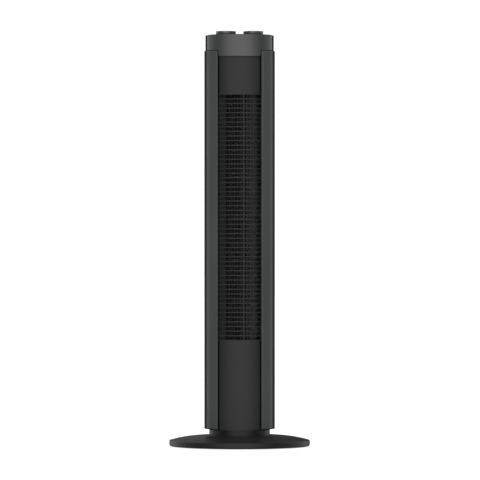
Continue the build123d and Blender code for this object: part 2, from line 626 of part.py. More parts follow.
def wall_from(points, thickness, z0, z1):
    """A thin upright wall along a smooth line, thickened to the left of its direction."""
    edge = []
    for i, (x, y) in enumerate(points):
        x0, y0 = points[max(i - 1, 0)]
        x1, y1 = points[min(i + 1, len(points) - 1)]
        length = sqrt((x1 - x0) ** 2 + (y1 - y0) ** 2)
        edge.append((x - (y1 - y0) / length * thickness, y + (x1 - x0) / length * thickness))
    near = Spline(points)
    far = Spline(edge)
    ends = [Line(points[0], edge[0]), Line(points[-1], edge[-1])]
    return Pos(0, 0, z0) * extrude(make_face([near, far] + ends), z1 - z0)


def make_scroll_guide():
    """Spiral wall of the air duct on the right."""
    return wall_from(SCROLL_PATH, GUIDE_WALL, DECK_TOP, UPPER_DECK_LOW)


def make_tongue_guide():
    """Wall on the left that parts the intake from the outlet."""
    return wall_from(TONGUE_PATH, GUIDE_WALL, DECK_TOP, UPPER_DECK_LOW)


def deck_plate(z0, z1):
    """A plate that closes one end of the air duct."""
    plate = oval(FLANGE_X - GAP, PANEL_FRONT - WALL - GAP, SHELL_BACK - WALL - 2.0, z0, z1)
    inset = CHANNEL_DEPTH + WALL + GAP
    clear = oval(PANEL_HALF - inset, PANEL_FRONT - inset, 30, z0 - 1, z1 + 1)
    for side in (-1, 1):
        x0, x1 = sorted((side * (CHANNEL_X - WALL - GAP), side * (INNER_EDGE_X + WALL + GAP)))
        plate -= block(x0, x1, -REACH, WIDEST_Y, z0 - 1, z1 + 1) - clear
        plate -= rod(1.7, side * DECK_SCREW_X, DECK_SCREW_Y, z0 - 1, z1 + 1)
    return plate


def lug_points():
    """Where the motor's four lugs are."""
    return [(WHEEL_X + sx * LUG, WHEEL_Y + sy * LUG) for sx in (-1, 1) for sy in (-1, 1)]


def make_motor_deck():
    """Plate under the wheel that carries the motor."""
    deck = deck_plate(DECK_LOW, DECK_TOP) - rod(10.0, WHEEL_X, WHEEL_Y, 0, HIGH)
    for x, y in lug_points():
        deck += rod(5.0, x, y, GROMMET_TOP + 0.2, DECK_LOW)
        deck -= rod(BOLT_R, x, y, 149.0, 178.0)
    return deck


def make_upper_deck():
    """Plate above the wheel that holds the upper bearing."""
    deck = deck_plate(UPPER_DECK_LOW, UPPER_DECK_TOP)
    deck += tube(SUPPORT_R + WALL, SUPPORT_R, WHEEL_X, WHEEL_Y, UPPER_DECK_TOP, UPPER_DECK_TOP + 6)
    return deck - rod(SUPPORT_R, WHEEL_X, WHEEL_Y, 0, HIGH)


def make_deck_screws():
    """Screws that hold the two decks in the rear shell."""
    screws = []
    for side in (-1, 1):
        for z in (DECK_TOP, UPPER_DECK_TOP):
            screws.append(screw_down(side * DECK_SCREW_X, DECK_SCREW_Y, z, z - 10, 2.8, 1.8, 1.5))
    return group(screws)


def make_bearing_cushion():
    """Rubber ring round the upper bearing."""
    return tube(SUPPORT_R, BUSH_OUTER_R, WHEEL_X, WHEEL_Y, UPPER_DECK_LOW, UPPER_DECK_TOP + 6)


def make_bearing_bush():
    """Sintered bush of the upper bearing."""
    return tube(BUSH_OUTER_R, JOURNAL_R + RUNNING_FIT, WHEEL_X, WHEEL_Y, UPPER_DECK_LOW, UPPER_DECK_TOP + 6)


def make_wheel():
    """Cross-flow wheel: curved blades between rings, closed at both ends."""
    near = ThreePointArc((25.6, 0.0), (28.8, 1.5), (31.0, 4.6))
    far = ThreePointArc((25.0, 0.9), (28.0, 2.4), (30.2, 5.2))
    ends = [Line(near @ 0, far @ 0), Line(near @ 1, far @ 1)]
    blade = extrude(make_face([near, far] + ends), WHEEL_TOP - WHEEL_LOW)
    blades = [Rot(0, 0, BLADE_TURN + 360.0 * i / BLADE_COUNT) * blade for i in range(BLADE_COUNT)]
    step = (WHEEL_TOP - WHEEL_LOW - RING) / (RING_COUNT - 1)
    rings = [tube(WHEEL_R, 24.5, 0, 0, i * step, i * step + RING) for i in range(1, RING_COUNT - 1)]
    length = WHEEL_TOP - WHEEL_LOW
    lower = rod(WHEEL_R, 0, 0, 0, RING) + rod(8.0, 0, 0, -5, 8) - rod(SHAFT_R, 0, 0, -6, 6)
    lower -= Pos(6.0, 0, -2.5) * Rot(0, 90, 0) * Cylinder(1.5, 8.0)
    upper = rod(WHEEL_R, 0, 0, length - RING, length) + rod(6.0, 0, 0, length - 10, length + 1)
    upper -= rod(JOURNAL_R, 0, 0, length - 8, length + 3)
    return Pos(WHEEL_X, WHEEL_Y, WHEEL_LOW) * lower.fuse(upper, *rings, *blades)


def make_wheel_screw():
    """Set screw of the wheel's hub."""
    return Pos(WHEEL_X + 6.0, WHEEL_Y, WHEEL_LOW - 2.5) * Rot(0, 90, 0) * Cylinder(1.5, 4.0)


def make_wheel_journal():
    """Pin at the top of the wheel."""
    return rod(JOURNAL_R, WHEEL_X, WHEEL_Y, WHEEL_TOP - 8, UPPER_DECK_TOP + 8)


def make_motor_shaft():
    """Shaft of the motor, up into the wheel's hub."""
    return rod(SHAFT_R, WHEEL_X, WHEEL_Y, MOTOR_SHAFT_LOW, WHEEL_LOW + 6)


def make_motor_rotor():
    """Rotor on the motor's shaft."""
    return tube(ROTOR_R, SHAFT_R, WHEEL_X, WHEEL_Y, STATOR_LOW - 2, STATOR_TOP + 2)


def make_motor_stator():
    """Lamination stack with four lugs."""
    body = rod(STATOR_R, WHEEL_X, WHEEL_Y, STATOR_LOW, STATOR_TOP)
    for x, y in lug_points():
        arm = Pos(WHEEL_X + (x - WHEEL_X) * 0.75, WHEEL_Y + (y - WHEEL_Y) * 0.75, (LUG_LOW + LUG_TOP) / 2)
        turn = 45.0 if (x - WHEEL_X) * (y - WHEEL_Y) > 0 else -45.0
        body += arm * Rot(0, 0, turn) * Box(22.6, 13.0, LUG_TOP - LUG_LOW)
        body += rod(5.8, x, y, LUG_LOW, LUG_TOP)
    for x, y in lug_points():
        body -= rod(GROMMET_WAIST_R, x, y, 130, 150)
    return body - rod(ROTOR_R + 0.4, WHEEL_X, WHEEL_Y, 0, HIGH)


def make_motor_coils():
    """The windings' ends above and below the stack."""
    lower = tube(COIL_OUTER, COIL_INNER, WHEEL_X, WHEEL_Y, STATOR_LOW - COIL_END, STATOR_LOW)
    upper = tube(COIL_OUTER, COIL_INNER, WHEEL_X, WHEEL_Y, STATOR_TOP, STATOR_TOP + COIL_END)
    rounded = [fillet(lower.edges().group_by(Axis.Z)[0], 2.5), fillet(upper.edges().group_by(Axis.Z)[-1], 2.5)]
    return group(rounded)


def make_motor_bell(direction):
    """One end bell of the motor, above the stack for 1 and below it for -1."""
    bell = rod(BELL_R, WHEEL_X, WHEEL_Y, 0, BELL_HEIGHT)
    bell = fillet(bell.edges().group_by(Axis.Z)[-1], 5.0)
    bell -= rod(BELL_INNER_R, WHEEL_X, WHEEL_Y, -1, BELL_ROOF)
    bell += rod(BUSH_R + 2.6, WHEEL_X, WHEEL_Y, BUSH_START, BUSH_END)
    bell -= rod(BUSH_R, WHEEL_X, WHEEL_Y, 0, 30)
    for i in range(8):
        slot = block(14, 27, -2.0, 2.0, 12, 20)
        bell -= Pos(WHEEL_X, WHEEL_Y, 0) * Rot(0, 0, 45.0 * i) * slot
    if direction > 0:
        return Pos(0, 0, STATOR_TOP) * bell
    return Pos(0, 0, STATOR_LOW) * mirror(bell, about=Plane.XY)


def make_motor_bushes():
    """Bearing bushes in the end bells."""
    hole = SHAFT_R + RUNNING_FIT
    upper = tube(BUSH_R, hole, WHEEL_X, WHEEL_Y, STATOR_TOP + BUSH_START, STATOR_TOP + BUSH_END)
    lower = tube(BUSH_R, hole, WHEEL_X, WHEEL_Y, STATOR_LOW - BUSH_END, STATOR_LOW - BUSH_START)
    return group([lower, upper])


def make_motor_grommets():
    """Rubber grommets in the motor's lugs."""
    grommets = []
    for x, y in lug_points():
        body = rod(GROMMET_R, x, y, GROMMET_LOW, GROMMET_TOP)
        waist = tube(8.0, GROMMET_WAIST_R, x, y, LUG_LOW, LUG_TOP)
        grommets.append(body - waist - rod(BOLT_R, x, y, 100, 200))
    return group(grommets)


def make_motor_bolts():
    """Bolts that hang the motor from its deck."""
    return group([screw_up(x, y, GROMMET_LOW, 176, 4.2, 3.0, BOLT_R) for x, y in lug_points()])


# ---------------------------------------------------------------- electrics and controls

def make_cord_gland():
    """Strain relief bush of the mains cord in the rear wall."""
    body = rod_y(GLAND_R, 0, INLET_Z, 48.4, 56.5)
    body += rod_y(9.4, 0, INLET_Z, 54.05, 56.5)
    body += rod_y(9.0, 0, INLET_Z, 48.4, 50.6)
    return body - rod_y(INLET_R, 0, INLET_Z, 40, 60)


def make_capacitor():
    """Run capacitor of the motor."""
    body = block(-20, 18, -34, -18, FLOOR_TOP, FLOOR_TOP + 26)
    return fillet(body.edges().filter_by(Axis.Z), 2.0)


def make_terminal_block():
    """Screw terminals where the mains cord is joined."""
    body = block(26, 44, -26, -10, FLOOR_TOP, FLOOR_TOP + 12)
    for y in (-22.5, -18.0, -13.5):
        body -= rod(1.6, 35, y, FLOOR_TOP + 5, FLOOR_TOP + 13)
    return body


def make_speed_switch():
    """Four-position rotary switch under the cap."""
    x = -KNOB_X
    half = SPEED_SWITCH_HALF
    body = block(x - half, x + half, KNOB_Y - half, KNOB_Y + half, SPEED_SWITCH_LOW, CAP_DECK)
    body = fillet(body.edges().filter_by(Axis.Z), 1.5)
    for offset in (-8.0, -3.0, 3.0, 8.0):
        body += block(x + offset - 0.4, x + offset + 0.4, KNOB_Y - 8, KNOB_Y - 3, 744, 753)
    return body - rod(KNOB_SPINDLE_R + RUNNING_FIT, x, KNOB_Y, 756, 800)


def make_timer_body():
    """Clockwork timer under the cap."""
    x = KNOB_X
    body = rod(TIMER_R, x, KNOB_Y, TIMER_LOW, CAP_DECK)
    body = fillet(body.edges().group_by(Axis.Z)[0], 1.5)
    for offset in (-4.0, 4.0):
        body += block(x + offset - 0.4, x + offset + 0.4, KNOB_Y + 4, KNOB_Y + 10, TAB_LOW, TIMER_LOW + 1)
    return body - rod(KNOB_SPINDLE_R + RUNNING_FIT, x, KNOB_Y, 756, 800)


def make_knob(x):
    """Round control knob with a pocket for its pointer mark."""
    knob = rod(KNOB_R, x, KNOB_Y, KNOB_LOW, KNOB_TOP)
    knob = fillet(knob.edges().group_by(Axis.Z)[-1], 1.0)
    knob -= tube(KNOB_R - WALL, 6.0, x, KNOB_Y, KNOB_LOW - 1, KNOB_TOP - 2.6)
    knob -= rod(KNOB_SPINDLE_R, x, KNOB_Y, KNOB_LOW - 1, KNOB_TOP - 2.2)
    return knob - knob_mark(x)


def knob_mark(x):
    """Pointer line inlaid in the top of a knob."""
    half = MARK_WIDTH / 2
    return block(x - half, x + half, KNOB_Y - MARK_END, KNOB_Y - MARK_START, KNOB_TOP - MARK_DEPTH, KNOB_TOP)


def make_knob_spindle(x):
    """Spindle of a knob."""
    return rod(KNOB_SPINDLE_R, x, KNOB_Y, SPINDLE_LOW, KNOB_TOP - 2.2)


def make_swing_button():
    """Push button that switches the swing on and off."""
    button = rod(BUTTON_R, 0, BUTTON_Y, BUTTON_LOW, BUTTON_TOP)
    button = fillet(button.edges().group_by(Axis.Z)[-1], 0.8)
    button += rod(BUTTON_R + 1.6, 0, BUTTON_Y, BUTTON_LOW, BUTTON_LOW + 1.6)
    return button + rod(2.2, 0, BUTTON_Y, 758.6, BUTTON_LOW)


def make_swing_switch():
    """Latching switch under the swing button."""
    body = block(-7, 7, BUTTON_Y - 7, BUTTON_Y + 7, SWING_SWITCH_LOW, SWING_SWITCH_TOP)
    for x in (-4.0, 4.0):
        body += block(x - 0.4, x + 0.4, BUTTON_Y - 2, BUTTON_Y + 2, TAB_LOW, SWING_SWITCH_LOW + 1)
    return body


def make_switch_bracket():
    """Bracket that carries the swing switch under the cap."""
    bracket = block(-10.8, 10.8, BUTTON_Y - 7, BUTTON_Y + 7, 743.4, CAP_DECK)
    bracket -= block(-8.4, 8.4, BUTTON_Y - 8, BUTTON_Y + 8, SWING_SWITCH_LOW, CAP_DECK + 1)
    for x in (-4.0, 4.0):
        bracket -= block(x - 1.4, x + 1.4, BUTTON_Y - 3, BUTTON_Y + 3, TAB_LOW, SWING_SWITCH_LOW + 1)
    return bracket


def save(shape, node):
    """Writes one sub-part."""
    export_step(shape, f"parts/{node}.step")


right_cover = make_right_cover()
save(make_base_cover(), "base_cover")
save(make_base_plate(), "base_plate")
save(make_base_feet(), "base_feet")
save(make_base_screws(), "base_screws")
save(make_swivel_seat(), "swivel_seat")
save(make_seat_screws(), "seat_screws")
save(make_slide_ring(), "slide_ring")
save(make_tower_floor(), "tower_floor")
save(make_spindle_washer(), "spindle_washer")
save(make_spindle_screw(), "spindle_screw")
save(make_swing_motor(), "swing_motor")
save(make_swing_motor_screws(), "swing_motor_screws")
save(make_swing_crank(), "swing_crank")
save(make_swing_shaft(), "swing_shaft")
save(make_crank_roller(), "crank_roller")
save(right_cover, "right_side_cover")
save(mirrored(right_cover), "left_side_cover")
save(make_front_panel(), "front_panel")
save(make_front_screws(), "front_screws")
save(make_rear_shell(), "rear_shell")
save(make_floor_screws(), "floor_screws")
save(make_top_cap(), "top_cap")
save(make_scroll_guide(), "scroll_guide")
save(make_tongue_guide(), "tongue_guide")
save(make_motor_deck(), "motor_deck")
save(make_upper_deck(), "upper_deck")
save(make_deck_screws(), "deck_screws")
save(make_bearing_cushion(), "bearing_cushion")
save(make_bearing_bush(), "bearing_bush")
save(make_wheel(), "wheel")
save(make_wheel_screw(), "wheel_screw")
save(make_wheel_journal(), "wheel_journal")
save(make_motor_shaft(), "motor_shaft")
save(make_motor_rotor(), "motor_rotor")
save(make_motor_stator(), "motor_stator")
save(make_motor_coils(), "motor_coils")
save(make_motor_bell(1), "motor_upper_bell")
save(make_motor_bell(-1), "motor_lower_bell")
save(make_motor_bushes(), "motor_bushes")
save(make_motor_grommets(), "motor_grommets")
save(make_motor_bolts(), "motor_bolts")
save(make_cord_gland(), "cord_gland")
save(make_capacitor(), "capacitor")
save(make_terminal_block(), "terminal_block")
save(make_speed_switch(), "speed_switch")
save(make_timer_body(), "timer_body")
save(make_knob(-KNOB_X), "speed_knob")
save(make_knob(KNOB_X), "timer_knob")
save(knob_mark(-KNOB_X), "speed_knob_mark")
save(knob_mark(KNOB_X), "timer_knob_mark")
save(make_knob_spindle(-KNOB_X), "speed_spindle")
save(make_knob_spindle(KNOB_X), "timer_spindle")
save(make_swing_button(), "swing_button")
save(make_swing_switch(), "swing_switch")
save(make_switch_bracket(), "switch_bracket")
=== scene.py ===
import json
import math

import bmesh
import bpy
from mathutils import Matrix, Vector


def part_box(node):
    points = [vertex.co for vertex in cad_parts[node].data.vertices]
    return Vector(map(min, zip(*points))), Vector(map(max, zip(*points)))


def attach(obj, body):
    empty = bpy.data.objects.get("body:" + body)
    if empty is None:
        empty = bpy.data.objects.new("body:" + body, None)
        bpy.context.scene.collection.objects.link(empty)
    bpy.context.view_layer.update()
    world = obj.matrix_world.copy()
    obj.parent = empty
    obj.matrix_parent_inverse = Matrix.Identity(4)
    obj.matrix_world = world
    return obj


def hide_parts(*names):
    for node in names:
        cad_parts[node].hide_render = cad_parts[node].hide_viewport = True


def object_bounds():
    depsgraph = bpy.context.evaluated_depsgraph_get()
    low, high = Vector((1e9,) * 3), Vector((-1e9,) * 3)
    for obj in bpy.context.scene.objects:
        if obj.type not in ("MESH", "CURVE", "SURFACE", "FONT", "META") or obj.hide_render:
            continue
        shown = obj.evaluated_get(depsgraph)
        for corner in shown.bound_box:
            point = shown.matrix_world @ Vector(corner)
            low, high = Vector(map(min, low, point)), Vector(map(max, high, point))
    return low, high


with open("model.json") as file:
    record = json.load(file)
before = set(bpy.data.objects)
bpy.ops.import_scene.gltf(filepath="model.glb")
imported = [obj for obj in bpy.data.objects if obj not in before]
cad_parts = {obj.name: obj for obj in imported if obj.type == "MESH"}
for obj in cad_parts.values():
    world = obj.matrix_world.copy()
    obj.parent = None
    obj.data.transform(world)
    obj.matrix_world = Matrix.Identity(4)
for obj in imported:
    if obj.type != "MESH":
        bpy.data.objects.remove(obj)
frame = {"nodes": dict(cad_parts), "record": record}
cad_low, cad_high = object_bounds()

MM = 0.001
FOOT_COUNT = 6
FOOT_RADIUS = 8 * MM
KNOB_SHOULDER = 0.6 * MM     # rounding of a knob's upper edge
KNOB_CROWN = 0.7 * MM        # how far a knob's top rises to its middle
KNOB_WALL = 2.4 * MM
KNOB_RECESS = 3.0 * MM       # depth of a knob's hollow underside
BUTTON_FLANGE = 1.6 * MM     # width and thickness of the button's lower flange
BUTTON_STEM = 5.4 * MM
PRINT_DEPTH, PRINT_RISE = 0.02 * MM, 0.03 * MM
NUMBER_SIZE = 3.4 * MM
NUMBER_REACH = 4.9 * MM      # distance of a dial's numbers from the knob's edge


# ---------------------------------------------------------------- materials

def new_material(name):
    """An empty material, its node tree and its shader."""
    material = bpy.data.materials.new(name)
    material.use_nodes = True
    return material, material.node_tree, material.node_tree.nodes["Principled BSDF"]


def node(tree, kind, **inputs):
    """Adds a node and sets its input sockets by name."""
    made = tree.nodes.new(kind)
    for key, value in inputs.items():
        made.inputs[key.replace("_", " ")].default_value = value
    return made


def noise(tree, scale, detail, stretch=(1, 1, 1)):
    """Solid noise in the object's own space, which can be stretched along an axis."""
    place = tree.nodes.new("ShaderNodeTexCoord")
    mapping = tree.nodes.new("ShaderNodeMapping")
    mapping.inputs["Scale"].default_value = stretch
    tree.links.new(place.outputs["Object"], mapping.inputs["Vector"])
    texture = node(tree, "ShaderNodeTexNoise", Scale=scale, Detail=detail, Roughness=0.6)
    tree.links.new(mapping.outputs["Vector"], texture.inputs["Vector"])
    return texture.outputs["Fac"]


def spread(tree, factor, low, high):
    """Spreads the middle of a noise value over low to high."""
    reach = node(tree, "ShaderNodeMapRange", From_Min=0.3, From_Max=0.7, To_Min=low, To_Max=high)
    tree.links.new(factor, reach.inputs["Value"])
    return reach.outputs["Result"]


def tint(tree, factor, dark, light):
    """Blends two colours by a value."""
    ramp = tree.nodes.new("ShaderNodeValToRGB")
    ramp.color_ramp.elements[0].color = (*dark, 1)
    ramp.color_ramp.elements[0].position = 0.3
    ramp.color_ramp.elements[1].color = (*light, 1)
    ramp.color_ramp.elements[1].position = 0.7
    tree.links.new(factor, ramp.inputs["Fac"])
    return ramp.outputs["Color"]


def bumps(tree, shader, layers):
    """Stacks bump layers, each a (value, distance in metres, strength)."""
    normal = None
    for value, distance, strength in layers:
        bump = node(tree, "ShaderNodeBump", Distance=distance, Strength=strength)
        tree.links.new(value, bump.inputs["Height"])
        if normal is not None:
            tree.links.new(normal, bump.inputs["Normal"])
        normal = bump.outputs["Normal"]
    tree.links.new(normal, shader.inputs["Normal"])


def lighter_edges(tree, colour, edge_colour):
    """Paints the convex edges of a moulding a little lighter, found by pointiness."""
    geometry = tree.nodes.new("ShaderNodeNewGeometry")
    edges = node(tree, "ShaderNodeMapRange", From_Min=0.53, From_Max=0.62, To_Min=0.0, To_Max=0.5)
    tree.links.new(geometry.outputs["Pointiness"], edges.inputs["Value"])
    mix = tree.nodes.new("ShaderNodeMix")
    mix.data_type = "RGBA"
    tree.links.new(edges.outputs["Result"], mix.inputs["Factor"])
    tree.links.new(colour, mix.inputs["A"])
    mix.inputs["B"].default_value = (*edge_colour, 1)
    return mix.outputs["Result"]


def plastic(name, dark, light, rough, specular, grain=0.00006, grain_scale=1400, edge=1.25):
    """Moulded plastic with a spark-eroded grain, faint flow marks and lighter edges."""
    material, tree, shader = new_material(name)
    cloud = noise(tree, 14, 4, (1, 1, 0.35))
    fine = noise(tree, grain_scale, 3)
    colour = tint(tree, cloud, dark, light)
    edge_colour = [min(1.0, c * edge + 0.004) for c in light]
    tree.links.new(lighter_edges(tree, colour, edge_colour), shader.inputs["Base Color"])
    smear = noise(tree, 42, 5, (1, 1, 0.5))
    tree.links.new(spread(tree, smear, rough - 0.025, rough + 0.035), shader.inputs["Roughness"])
    shader.inputs["Specular IOR Level"].default_value = specular
    bumps(tree, shader, [(cloud, 0.0004, 0.05), (fine, grain, 0.35)])
    return material


def rubber(name):
    """Matt rubber with a dusty bloom."""
    material, tree, shader = new_material(name)
    bloom = noise(tree, 120, 5)
    colour = tint(tree, bloom, (0.012, 0.012, 0.012), (0.030, 0.029, 0.028))
    tree.links.new(colour, shader.inputs["Base Color"])
    tree.links.new(spread(tree, bloom, 0.75, 0.92), shader.inputs["Roughness"])
    shader.inputs["Specular IOR Level"].default_value = 0.3
    bumps(tree, shader, [(noise(tree, 900, 4), 0.00012, 0.5)])
    return material


def metal(name, dark, light, rough, stretch, scratch=0.3):
    """Metal with a drawn or turned grain along one axis."""
    material, tree, shader = new_material(name)
    grain = noise(tree, 260, 4, stretch)
    tree.links.new(tint(tree, grain, dark, light), shader.inputs["Base Color"])
    tree.links.new(spread(tree, grain, rough - 0.06, rough + 0.08), shader.inputs["Roughness"])
    shader.inputs["Metallic"].default_value = 1.0
    bumps(tree, shader, [(grain, 0.00005, scratch)])
    return material


def striped_metal(name, dark, light, rough, lines_per_metre, axis):
    """Metal built up of fine layers or windings, which are stripes across one axis."""
    material, tree, shader = new_material(name)
    place = tree.nodes.new("ShaderNodeTexCoord")
    wave = node(tree, "ShaderNodeTexWave", Scale=lines_per_metre, Distortion=0.6, Detail=1.0)
    wave.bands_direction = axis
    tree.links.new(place.outputs["Object"], wave.inputs["Vector"])
    tree.links.new(tint(tree, wave.outputs["Fac"], dark, light), shader.inputs["Base Color"])
    tree.links.new(spread(tree, noise(tree, 180, 4), rough - 0.05, rough + 0.10), shader.inputs["Roughness"])
    shader.inputs["Metallic"].default_value = 1.0
    bumps(tree, shader, [(wave.outputs["Fac"], 0.00015, 0.6)])
    return material


MATERIALS = {
    "grey_plastic": plastic("satin_grey", (0.034, 0.037, 0.035), (0.042, 0.045, 0.043), 0.32, 0.58),
    "dark_plastic": plastic("satin_black", (0.018, 0.018, 0.018), (0.022, 0.022, 0.022), 0.34, 0.18),
    "underside_plastic": plastic("plain_black", (0.012, 0.012, 0.012), (0.020, 0.020, 0.020), 0.50, 0.35,
                                 0.00010, 800),
    # Wheel: black plastic painted light grey, painted light for the shaded inside seen between the slats.
    "wheel_plastic": plastic("wheel_plastic", (0.060, 0.060, 0.062), (0.070, 0.070, 0.072), 0.52, 0.14,
                             0.00010, 900),
    "slide_plastic": plastic("acetal", (0.62, 0.60, 0.55), (0.74, 0.72, 0.67), 0.30, 0.50),
    "switch_plastic": plastic("nylon", (0.52, 0.47, 0.36), (0.66, 0.61, 0.49), 0.42, 0.50),
    "capacitor_case": plastic("capacitor_case", (0.06, 0.07, 0.08), (0.09, 0.10, 0.12), 0.30, 0.55),
    "mark_plastic": plastic("printed_white", (0.60, 0.60, 0.58), (0.72, 0.72, 0.70), 0.38, 0.50),
    "rubber": rubber("foot_rubber"),
    "bearing_metal": metal("sintered_bronze", (0.36, 0.23, 0.10), (0.55, 0.38, 0.18), 0.42, (1, 1, 1)),
    "copper_wire": striped_metal("copper_winding", (0.30, 0.10, 0.04), (0.72, 0.31, 0.14), 0.34, 900, "Z"),
    "steel": metal("zinc_steel", (0.36, 0.36, 0.37), (0.62, 0.62, 0.63), 0.30, (1, 1, 6)),
    "motor_steel": metal("pressed_steel", (0.17, 0.17, 0.18), (0.28, 0.28, 0.29), 0.45, (1, 1, 2)),
    "lamination": striped_metal("laminations", (0.10, 0.10, 0.10), (0.30, 0.29, 0.28), 0.45, 1000, "Z"),
}
# Rear shell: black plastic painted darker than the other black parts; the extra darkness is painted shade
# for the dark strip along the tower's sides.
SHELL_BLACK_AND_SHADE = plastic("shell_black_and_shade", (0.008, 0.008, 0.008), (0.012, 0.012, 0.012), 0.40, 0.30)
# Side covers: the cap's grey plastic painted lighter and given little gloss, painted light for the covers'
# lit faces.
COVER_GREY_PAINTED_LIGHT = plastic("cover_grey_painted_light", (0.056, 0.060, 0.058), (0.068, 0.072, 0.070), 0.32, 0.08)
# Knobs: the cap's grey painted about a third lighter, painted light against the shade the deck and the other
# knob put on them.
KNOB_GREY_PAINTED_LIGHT = plastic("knob_grey_painted_light", (0.038, 0.041, 0.039), (0.047, 0.050, 0.048), 0.27, 1.0)
# Tongue guide: the underside black painted lighter, painted light for the shaded inside seen between the
# slats.
GUIDE_PAINTED_LIGHT = plastic("guide_painted_light", (0.030, 0.030, 0.030), (0.040, 0.040, 0.040), 0.50, 0.35, 0.00010, 800)
BASE_BLACK = plastic("base_black", (0.013, 0.013, 0.013), (0.017, 0.017, 0.017), 0.34, 0.20)
# Neck: black plastic painted darker than the base, painted shade for the shadow the tower casts on it.
NECK_PAINTED_SHADE = plastic("neck_painted_shade", (0.006, 0.006, 0.006), (0.009, 0.009, 0.009), 0.32, 0.21)


def paint(piece, material):
    """Gives a whole piece one material."""
    piece.data.materials.clear()
    piece.data.materials.append(material)


for row in frame["record"]["subparts"]:
    paint(frame["nodes"][row["node"]], MATERIALS[row["material_slot"]])
# The side covers get the painted light copy of the grey.
for name in ("left_side_cover", "right_side_cover"):
    paint(frame["nodes"][name], COVER_GREY_PAINTED_LIGHT)
# The tongue guide gets the painted light black.
paint(frame["nodes"]["tongue_guide"], GUIDE_PAINTED_LIGHT)
# The rear shell's colour is black plastic with painted shade.
paint(frame["nodes"]["rear_shell"], SHELL_BLACK_AND_SHADE)
paint(frame["nodes"]["base_cover"], BASE_BLACK)
# The neck gets the painted shade colour.
paint(frame["nodes"]["swivel_seat"], NECK_PAINTED_SHADE)


# ---------------------------------------------------------------- rounded edges of the CAD shells

def soften(name, width):
    """Rounds the sharp edges of a CAD moulding by a small radius."""
    piece = frame["nodes"][name]
    weld = piece.modifiers.new("weld", "WELD")
    weld.merge_threshold = 0.002 * MM
    bevel = piece.modifiers.new("bevel", "BEVEL")
    bevel.width = width
    bevel.segments = 2
    bevel.limit_method = "ANGLE"
    bevel.angle_limit = math.radians(38)
    bevel.use_clamp_overlap = True
    normals = piece.modifiers.new("normals", "WEIGHTED_NORMAL")
    normals.keep_sharp = False


for shell_name, width in (("front_panel", 0.30), ("right_side_cover", 0.30), ("left_side_cover", 0.30),
                          ("top_cap", 0.35), ("rear_shell", 0.25)):
    soften(shell_name, width * MM)


# ---------------------------------------------------------------- pieces built here

def as_piece(name, mesh, body, material, slot, *stands_for):
    """Puts a mesh in the scene as a piece that rides on a body and stands for some CAD nodes."""
    piece = bpy.data.objects.new(name, mesh)
    bpy.context.scene.collection.objects.link(piece)
    mesh.materials.clear()
    mesh.materials.append(material)
    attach(piece, body)
    if stands_for:
        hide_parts(*stands_for)
    return piece


def arc(cx, cz, radius, start, end, steps):
    """Points on a round corner of a profile, angles in degrees."""
    angles = [math.radians(start + (end - start) * i / steps) for i in range(steps + 1)]
    return [(cx + radius * math.cos(a), cz + radius * math.sin(a)) for a in angles]


def lathe(name, profile, axis, segments=160):
    """A turned mesh from (radius, height) points that start and end on the axis."""
    work = bmesh.new()
    rings = []
    for radius, height in profile:
        if radius < 1e-9:
            rings.append([work.verts.new((axis.x, axis.y, height))])
            continue
        turns = [2 * math.pi * i / segments for i in range(segments)]
        rings.append([work.verts.new((axis.x + radius * math.cos(t), axis.y + radius * math.sin(t), height))
                      for t in turns])
    for low_ring, high_ring in zip(rings, rings[1:]):
        for i in range(segments):
            j = (i + 1) % segments
            corners = [low_ring[i % len(low_ring)], low_ring[j % len(low_ring)],
                       high_ring[j % len(high_ring)], high_ring[i % len(high_ring)]]
            work.faces.new(list(dict.fromkeys(corners)))
    bmesh.ops.recalc_face_normals(work, faces=work.faces)
    mesh = bpy.data.meshes.new(name)
    work.to_mesh(mesh)
    work.free()
    for face in mesh.polygons:
        face.use_smooth = True
    return mesh


def dome_height(radius, rim_radius, low_z, top_z):
    """Height of a knob's domed top at a radius."""
    return top_z - (top_z - low_z) * (radius / rim_radius) ** 2


def knob_profile(node_name):
    """Profile of a knob: recessed underside, plain skirt, rounded shoulder and slightly domed top."""
    low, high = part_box(node_name)
    outer = (high.x - low.x) / 2
    rim = outer - KNOB_SHOULDER
    edge_z = high.z - KNOB_CROWN
    top = [(rim * i / 12, dome_height(rim * i / 12, rim, edge_z, high.z)) for i in range(12, -1, -1)]
    recess_z = low.z + KNOB_RECESS
    skirt = [(0, recess_z), (outer - KNOB_WALL, recess_z), (outer - KNOB_WALL, low.z),
             (outer - 0.3 * MM, low.z), (outer, low.z + 0.3 * MM)]
    return skirt + arc(rim, edge_z - KNOB_SHOULDER, KNOB_SHOULDER, 0, 90, 6) + top[1:]


